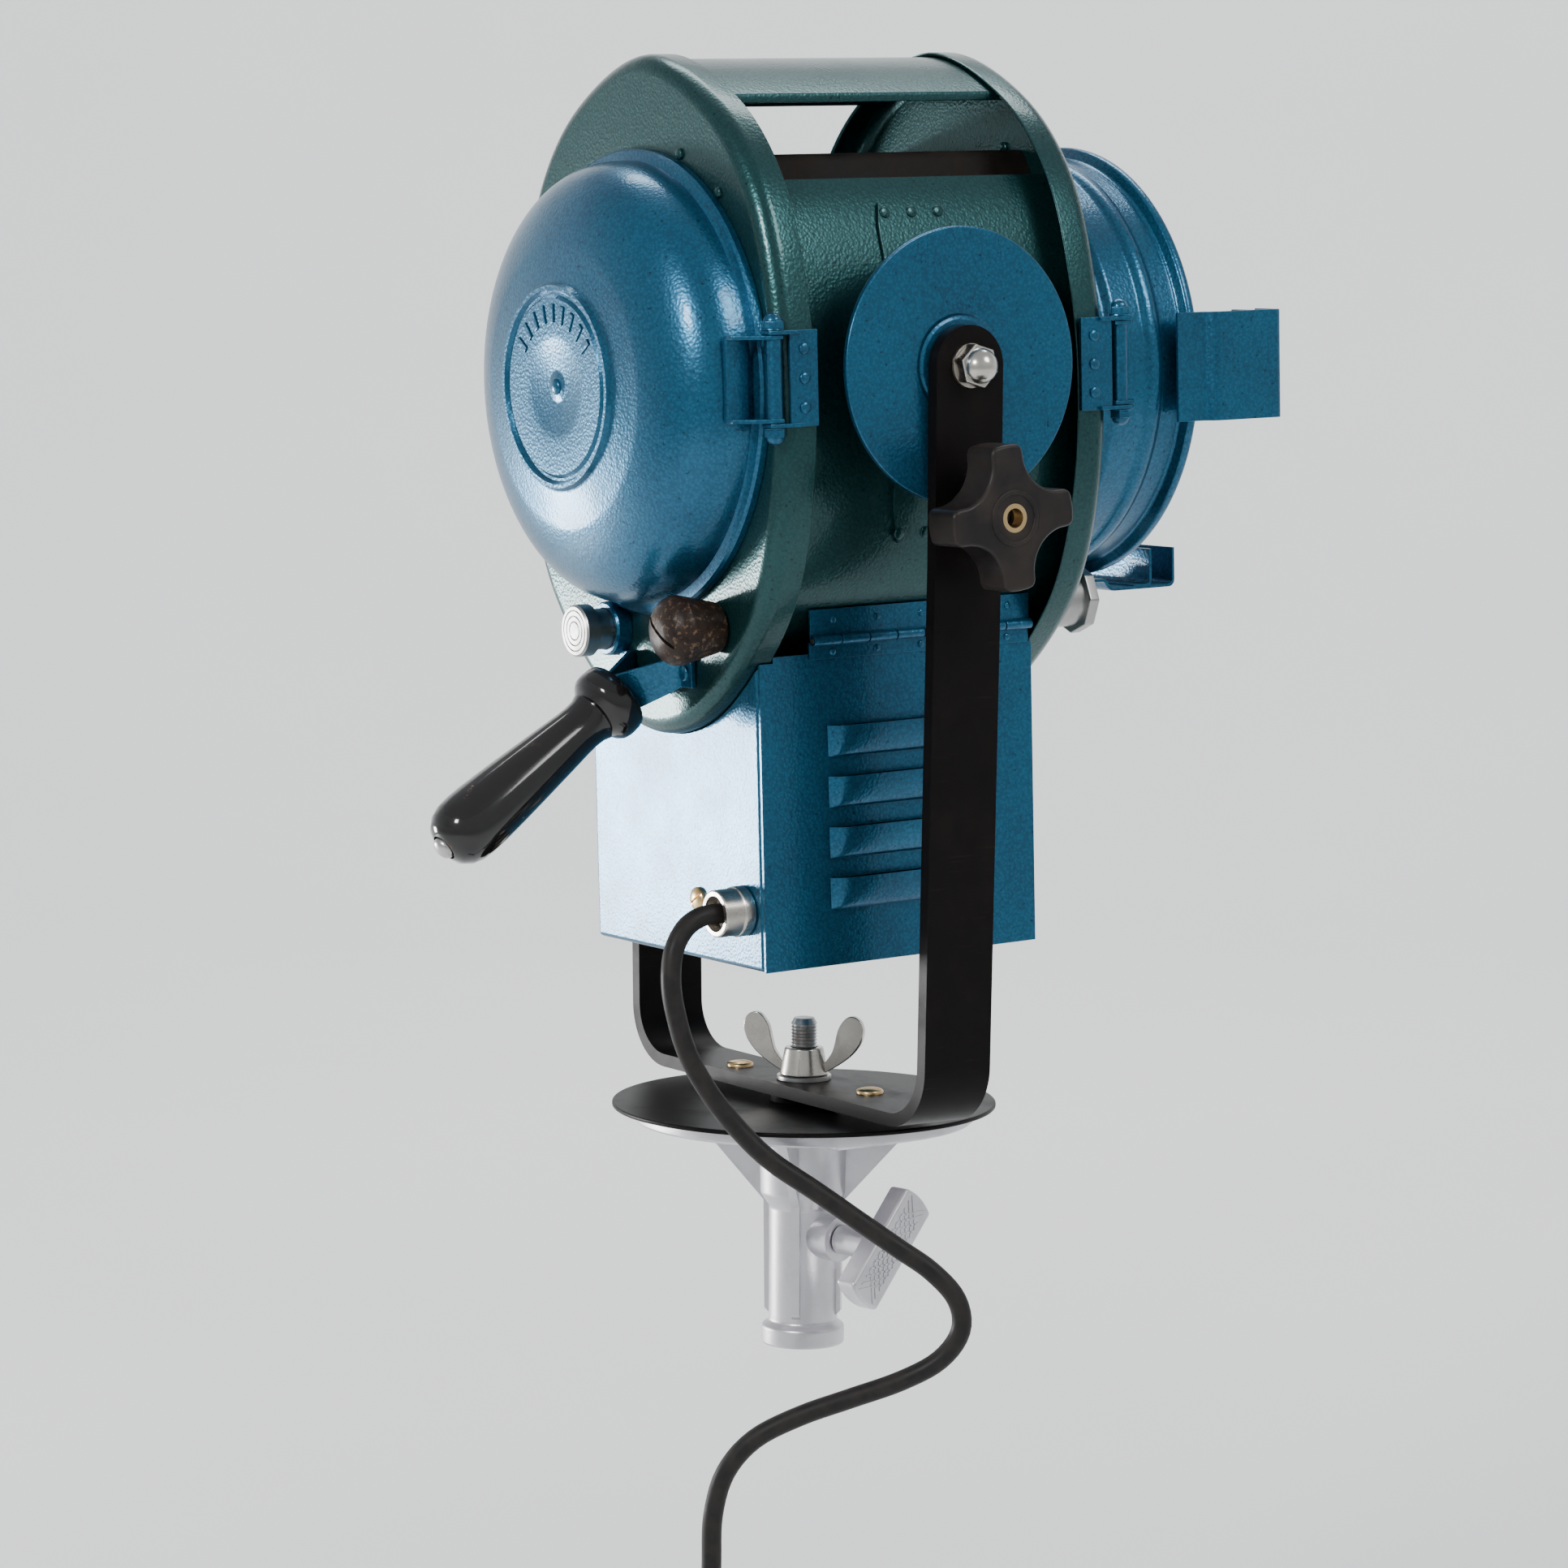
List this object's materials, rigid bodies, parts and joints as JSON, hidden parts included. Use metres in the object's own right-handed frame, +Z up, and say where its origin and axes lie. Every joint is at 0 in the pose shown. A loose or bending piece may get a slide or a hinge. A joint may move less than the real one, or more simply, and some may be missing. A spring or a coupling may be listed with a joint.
{
  "type": "fresnel spotlight",
  "caption": "Studio fresnel spotlight in a yoke with a stand socket, hinged lens door and rear cover, louvred base box, focus carriage, wooden handle and mains lead.",
  "frame": {"origin": "centre of the stand socket's mouth, at its lower face", "axes": "+Z up; the lens faces -Y; the rear cover faces +Y; the tilt clamp and the door hinges are on the -X side"},
  "size_m": [0.3023, 0.3903, 0.8608],
  "materials": {
    "hammer_blue": "hammered gloss",
    "hammer_green": "hammered gloss",
    "satin_black": "satin",
    "cast_aluminium": "cast",
    "nickel": "nickel plated",
    "steel": "satin",
    "soot_black": "matte",
    "black_wood": "gloss lacquer",
    "bakelite": "mottled",
    "black_plastic": "satin",
    "grey_alloy": "satin",
    "glass": "clear",
    "mirror": "polished",
    "ceramic": "glazed",
    "rubber": "matte"
  },
  "bodies": {
    "stand_socket": {"socket_casting": "cast_aluminium", "socket_stud": "steel"},
    "socket_screw": {"socket_clamp_screw": "cast_aluminium"},
    "yoke_frame": {"yoke": "satin_black", "friction_disc": "satin_black", "friction_spacer": "satin_black", "stud_washer": "steel", "pivot_bolt_left": "steel", "pivot_bolt_right": "steel", "acorn_nut_left": "nickel", "acorn_nut_right": "nickel", "tilt_clamp_jaw": "steel", "power_cord": "rubber", "cord_coil": "rubber", "cord_plug": "black_plastic"},
    "wing_nut_body": {"wing_nut": "nickel"},
    "tilt_clamp": {"tilt_clamp_knob": "black_plastic"},
    "head": {"tilt_disc_left": "hammer_blue", "tilt_disc_right": "hammer_blue", "pivot_bracket_left": "hammer_green", "pivot_bracket_right": "hammer_green", "rear_flange": "hammer_green", "front_flange": "hammer_green", "body_shell": "hammer_green", "top_bridge": "hammer_green", "chimney_baffle": "soot_black", "lower_box": "hammer_blue", "terminal_block": "ceramic", "piano_hinge_leaf": "hammer_blue", "piano_hinge_pin": "steel", "cable_gland": "nickel", "rear_hinge_leaf": "hammer_blue", "rear_hinge_pin": "steel", "front_hinge_leaf": "hammer_blue", "front_hinge_pin": "steel", "rear_catch": "steel", "front_catch": "steel", "handle_bracket": "hammer_blue", "handle_grip": "black_wood", "handle_bolt": "steel", "rotary_switch": "ceramic", "carriage_rails": "steel"},
    "rear_door": {"rear_cover": "hammer_blue"},
    "front_door": {"lens_door": "hammer_blue", "lens_frame": "soot_black", "lens_clip_ring": "soot_black", "fresnel_lens": "glass", "accessory_bracket_left": "hammer_blue", "accessory_bracket_right": "hammer_blue", "accessory_bracket_bottom": "hammer_blue"},
    "louvred_flap": {"side_flap": "hammer_blue"},
    "focus_drive": {"focus_screw": "steel", "focus_knob_rear": "bakelite", "focus_knob_front": "grey_alloy"},
    "switch_drive": {"switch_knob": "grey_alloy"},
    "lamp_carriage": {"carriage": "steel", "lamp_holder": "ceramic", "lamp_bulb": "glass", "reflector": "mirror"}
  },
  "joints": [
    {"name": "yoke_pan", "type": "hinge", "parent": "stand_socket", "child": "yoke_frame", "pos_m": [0, 0, 0.11], "axis": [0, 0, 1], "range_deg": [-170, 170]},
    {"name": "wing_nut_turn", "type": "hinge", "parent": "yoke_frame", "child": "wing_nut_body", "pos_m": [0, 0, 0.127], "axis": [0, 0, 1], "range_deg": [-180, 180]},
    {"name": "socket_screw_turn", "type": "hinge", "parent": "stand_socket", "child": "socket_screw", "pos_m": [0, 0, 0.0512], "axis": [-0.9781, -0.2079, 0], "range_deg": [-180, 180]},
    {"name": "tilt_clamp_turn", "type": "hinge", "parent": "yoke_frame", "child": "tilt_clamp", "pos_m": [-0.1265, 0, 0.3869], "axis": [-1, 0, 0], "range_deg": [-120, 120]},
    {"name": "head_tilt", "type": "hinge", "parent": "yoke_frame", "child": "head", "pos_m": [0, 0, 0.4509], "axis": [1, 0, 0], "range_deg": [-35, 60], "deforming": ["power_cord"]},
    {"name": "rear_cover_swing", "type": "hinge", "parent": "head", "child": "rear_door", "pos_m": [-0.11, 0.08988, 0.44557], "axis": [0, 0.0314, 0.9995], "range_deg": [0, 110]},
    {"name": "lens_door_swing", "type": "hinge", "parent": "head", "child": "front_door", "pos_m": [-0.11, -0.09303, 0.45132], "axis": [0, 0.0314, 0.9995], "range_deg": [-110, 0]},
    {"name": "side_flap_swing", "type": "hinge", "parent": "head", "child": "louvred_flap", "pos_m": [-0.0742, -0.00374, 0.33196], "axis": [0, 0.9995, -0.0314], "range_deg": [0, 14]},
    {"name": "carriage_slide", "type": "slide", "parent": "head", "child": "lamp_carriage", "axis": [0, 0.9995, -0.0314], "range_m": [-0.02, 0.02]},
    {"name": "focus_turn", "type": "hinge", "parent": "head", "child": "focus_drive", "pos_m": [-0.056, -0.0035, 0.33946], "axis": [0, 0.9995, -0.0314], "range_deg": [-725, 725]},
    {"name": "switch_turn", "type": "hinge", "parent": "head", "child": "switch_drive", "pos_m": [0.027, 0.08328, 0.33122], "axis": [0, 0.9995, -0.0314], "range_deg": [0, 90]}
  ],
  "couplings": [
    {"joint": "focus_turn", "follows": "carriage_slide", "rad_per_m": 628.32}
  ]
}
